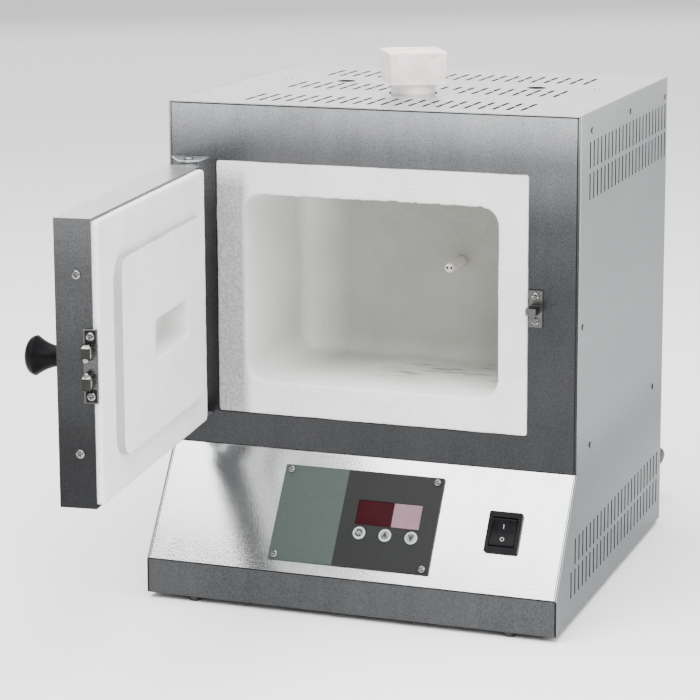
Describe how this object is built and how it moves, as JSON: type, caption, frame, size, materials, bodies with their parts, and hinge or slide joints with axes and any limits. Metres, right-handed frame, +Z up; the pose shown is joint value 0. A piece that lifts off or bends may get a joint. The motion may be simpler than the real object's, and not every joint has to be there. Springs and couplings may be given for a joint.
{
  "type": "glass kiln",
  "caption": "Bench-top glass kiln: sheet-metal case, fibre-lined chamber, side-hung insulated door with a ball catch, sloped digital control panel, rocker switch and lift-out vent plug.",
  "frame": {"origin": "on the standing surface under the middle of the kiln's box, measured with the door standing open and without the mains lead", "axes": "+X to the kiln's right seen from the front, +Y from the door to the back, +Z up"},
  "size_m": [0.4163, 0.7186, 0.4273],
  "materials": {
    "galvanised_steel": "satin",
    "dark_steel": "satin",
    "ceramic_fibre": "matte",
    "fibre_board": "matte",
    "firebrick": "matte",
    "ceramic": "matte",
    "black_plastic": "gloss",
    "black_rubber": "matte",
    "nickel_steel": "polished",
    "element_alloy": "matte",
    "faceplate_print": "satin",
    "display_red": "gloss",
    "circuit_green": "satin",
    "brass": "polished"
  },
  "bodies": {
    "case": {"back_insulation": "fibre_board", "back_panel": "galvanised_steel", "base_pan": "dark_steel", "bottom_hinge_ear": "galvanised_steel", "bottom_hinge_pin": "nickel_steel", "bottom_insulation": "fibre_board", "circuit_board": "circuit_green", "control_faceplate": "faceplate_print", "control_panel": "galvanised_steel", "cord_coil": "black_rubber", "display_window": "display_red", "far_plug_blade": "brass", "firing_chamber": "ceramic_fibre", "front_frame": "dark_steel", "front_left_foot": "black_rubber", "front_right_foot": "black_rubber", "heat_shield": "galvanised_steel", "left_heating_element": "element_alloy", "left_insulation": "fibre_board", "left_side_panel": "galvanised_steel", "lower_left_plate_screw": "nickel_steel", "lower_right_plate_screw": "nickel_steel", "lower_strike_screw": "nickel_steel", "near_plug_blade": "brass", "plug_body": "black_rubber", "plug_ground_pin": "brass", "power_cord": "black_rubber", "power_cord_tail": "black_rubber", "power_relay": "black_plastic", "power_switch_body": "black_plastic", "rear_left_foot": "black_rubber", "rear_right_foot": "black_rubber", "right_heating_element": "element_alloy", "right_insulation": "fibre_board", "right_side_panel": "galvanised_steel", "strain_relief": "black_rubber", "strike_plate": "nickel_steel", "thermocouple_block": "ceramic", "thermocouple_tube": "ceramic", "top_hinge_ear": "galvanised_steel", "top_hinge_pin": "nickel_steel", "top_insulation": "fibre_board", "top_panel": "galvanised_steel", "transformer": "element_alloy", "upper_left_plate_screw": "nickel_steel", "upper_right_plate_screw": "nickel_steel", "upper_strike_screw": "nickel_steel"},
    "door": {"door_pan": "dark_steel", "door_liner": "ceramic_fibre", "door_knob": "black_plastic", "knob_screw": "nickel_steel", "door_hinge_bracket": "dark_steel", "catch_housing": "nickel_steel"},
    "upper_catch_ball": {"upper_catch_ball": "nickel_steel"},
    "lower_catch_ball": {"lower_catch_ball": "nickel_steel"},
    "vent_plug": {"vent_plug": "firebrick"},
    "cycle_key": {"cycle_key": "faceplate_print"},
    "up_key": {"up_key": "faceplate_print"},
    "down_key": {"down_key": "faceplate_print"},
    "power_switch_rocker": {"power_switch_rocker": "black_plastic"}
  },
  "joints": [
    {"name": "door_swing", "type": "hinge", "parent": "case", "child": "door", "pos_m": [-0.1435, -0.01156, 0.2444], "axis": [0, 0, 1], "range_deg": [-36, 83.4]},
    {"name": "upper_ball_press", "type": "slide", "parent": "door", "child": "upper_catch_ball", "axis": [0, 0, 1], "range_m": [0, 0.0015], "stiffness_N_per_m": 600, "springref_m": -0.001},
    {"name": "lower_ball_press", "type": "slide", "parent": "door", "child": "lower_catch_ball", "axis": [0, 0, -1], "range_m": [0, 0.0015], "stiffness_N_per_m": 600, "springref_m": -0.001},
    {"name": "vent_plug_lift", "type": "slide", "parent": "case", "child": "vent_plug", "axis": [0, 0, 1], "range_m": [0, 0.11]},
    {"name": "cycle_key_press", "type": "slide", "parent": "case", "child": "cycle_key", "axis": [0, 0.8284, -0.5602], "range_m": [0, 0.0006], "stiffness_N_per_m": 500, "springref_m": -0.0003},
    {"name": "up_key_press", "type": "slide", "parent": "case", "child": "up_key", "axis": [0, 0.8284, -0.5602], "range_m": [0, 0.0006], "stiffness_N_per_m": 500, "springref_m": -0.0003},
    {"name": "down_key_press", "type": "slide", "parent": "case", "child": "down_key", "axis": [0, 0.8284, -0.5602], "range_m": [0, 0.0006], "stiffness_N_per_m": 500, "springref_m": -0.0003},
    {"name": "power_switch_rock", "type": "hinge", "parent": "case", "child": "power_switch_rocker", "pos_m": [0.1188, -0.02113, 0.07331], "axis": [1, 0, 0], "range_deg": [-14, 0]}
  ]
}
